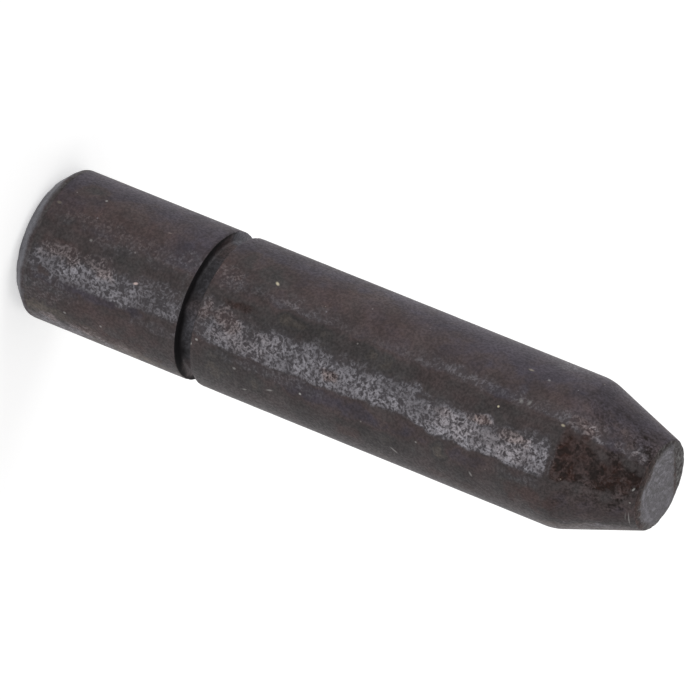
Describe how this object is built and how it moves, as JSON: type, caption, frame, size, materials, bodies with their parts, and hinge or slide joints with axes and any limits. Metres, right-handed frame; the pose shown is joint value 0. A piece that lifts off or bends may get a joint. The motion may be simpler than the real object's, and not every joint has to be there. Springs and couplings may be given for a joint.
{
  "type": "bearing pin",
  "caption": "Round steel pin with a retaining groove near its chamfered head end and a long plain shank that tapers to a small flat tip.",
  "frame": {"origin": "centre of the head end's flat face, which the pin stands on", "axes": "+Z along the pin's axis, from the head end to the tapered tip"},
  "size_m": [0.02, 0.02, 0.09],
  "materials": {
    "blackened_steel": "blackened, with thin brown scale and worn grey patches"
  },
  "bodies": {
    "root": {"bearing_pin": "blackened_steel"}
  },
  "joints": []
}
